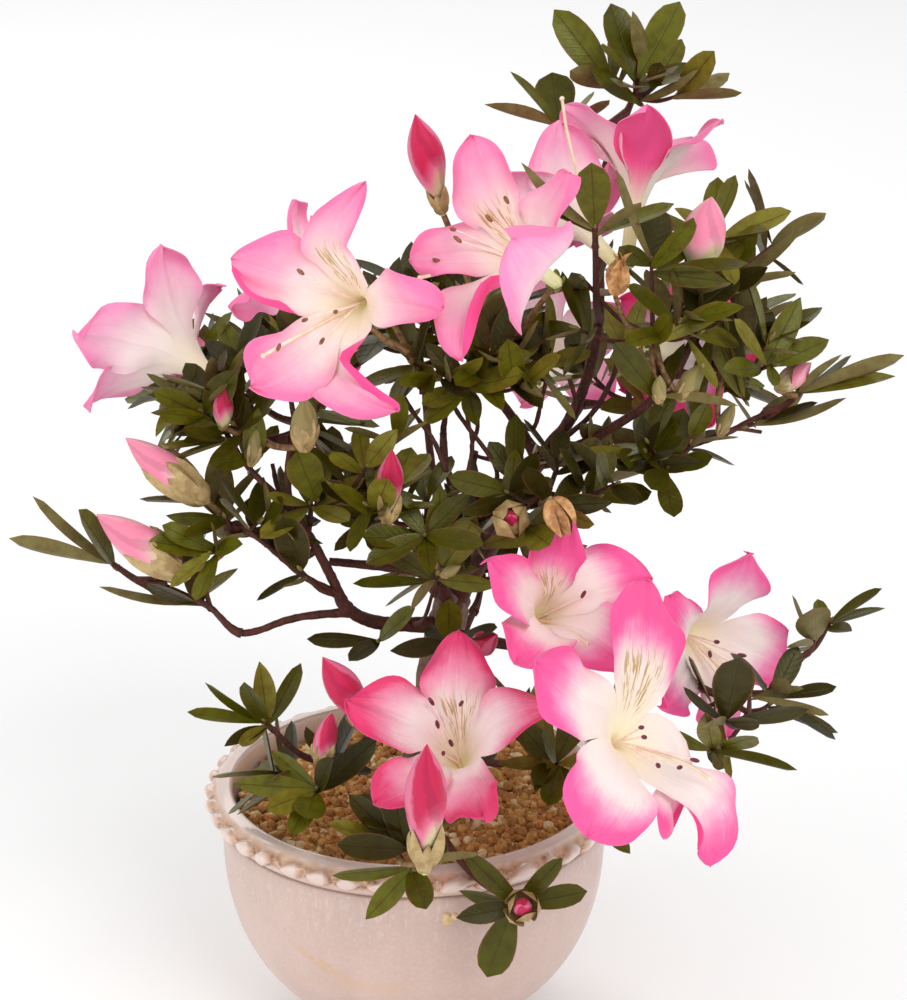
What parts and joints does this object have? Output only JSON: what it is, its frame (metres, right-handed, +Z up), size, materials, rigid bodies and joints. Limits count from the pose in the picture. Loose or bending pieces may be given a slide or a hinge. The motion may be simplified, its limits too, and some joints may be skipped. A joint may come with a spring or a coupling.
{
  "type": "azalea bonsai in a pot",
  "caption": "Flowering azalea bonsai standing in a round glazed bowl, with a short trunk, spreading boughs, loose leafy crown and large open blossoms.",
  "frame": {"origin": "centre of the pot's flat underside", "axes": "+Z up along the height of the plant, +Y towards the back of the plant as pictured, +X to its right"},
  "size_m": [0.3144, 0.2812, 0.3746],
  "materials": {
    "glaze": "satin pale pinkish off-white glaze with fine speckle, tan stains in the crimped band and a brown groove under it",
    "soil": "coarse golden-tan pumice grains, slightly damp, with dark gaps",
    "bark": "thin grey-brown bark on the trunk, smooth dark red-brown twigs with pale specks",
    "leaf": "small glossy olive to dark green leaves with a sunken midrib and grey-olive undersides",
    "petal": "thin soft pink petals with deep pink margins, pale centres and cream throats"
  },
  "bodies": {
    "root": {"pot": "glaze", "soil": "soil", "trunk": "bark", "bough_back": "bark", "bough_back_left": "bark", "bough_back_low": "bark", "bough_back_right": "bark", "bough_far_right": "bark", "bough_front": "bark", "bough_front_left": "bark", "bough_inner": "bark", "bough_left": "bark", "bough_left_arm": "bark", "bough_left_low": "bark", "bough_left_middle": "bark", "bough_left_reach": "bark", "bough_left_rising": "bark", "bough_middle": "bark", "bough_right": "bark", "bough_right_low": "bark", "bough_skirt_right": "bark", "bough_top": "bark", "bloom_back_left": "petal", "bloom_back_right": "petal", "bloom_behind_right": "petal", "bloom_far_left": "petal", "bloom_front": "petal", "bloom_low_right": "petal", "bloom_lower_middle": "petal", "bloom_skirt_right": "petal", "bloom_top": "petal", "bloom_upper_left": "petal", "bloom_upper_middle": "petal", "foliage_back": "leaf", "foliage_back_left": "leaf", "foliage_back_low": "leaf", "foliage_back_right": "leaf", "foliage_front": "leaf", "foliage_front_right": "leaf", "foliage_hanging": "leaf", "foliage_inner": "leaf", "foliage_left": "leaf", "foliage_left_inner": "leaf", "foliage_left_shoot": "leaf", "foliage_left_top": "leaf", "foliage_low_left": "leaf", "foliage_middle": "leaf", "foliage_middle_right": "leaf", "foliage_right": "leaf", "foliage_right_inner": "leaf", "foliage_right_low": "leaf", "foliage_right_shoot": "leaf", "foliage_rosette": "leaf", "foliage_skirt_right": "leaf", "foliage_skirt_shoot": "leaf", "foliage_top": "leaf", "foliage_top_right": "leaf", "foliage_upper_middle": "leaf"}
  },
  "joints": []
}
